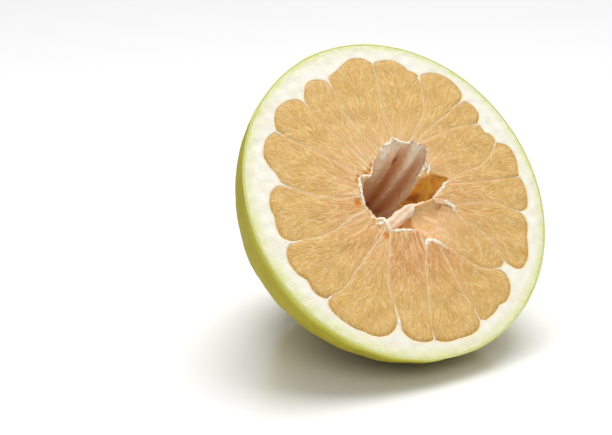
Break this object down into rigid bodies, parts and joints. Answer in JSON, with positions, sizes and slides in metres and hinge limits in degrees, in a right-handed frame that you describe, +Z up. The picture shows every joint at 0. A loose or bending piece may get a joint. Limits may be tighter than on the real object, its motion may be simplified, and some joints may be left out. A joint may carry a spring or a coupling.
{
  "type": "halved pomelo",
  "caption": "Halved pomelo with a pear-shaped stem end, lying on a small flat spot so that its cut face and open core look forward and up.",
  "frame": {"origin": "centre of the underside of the bounding box, on the surface that the fruit lies on", "axes": "+Z up; the cut face looks toward -Y and 37 degrees above level; +X runs to the right as seen by someone facing the cut"},
  "size_m": [0.161, 0.1338, 0.1388],
  "materials": {
    "rind": "satin",
    "pith": "matte",
    "pulp": "gloss",
    "membrane": "satin",
    "core": "matte",
    "stem": "matte"
  },
  "bodies": {
    "root": {"pomelo_half": "rind"}
  },
  "joints": []
}
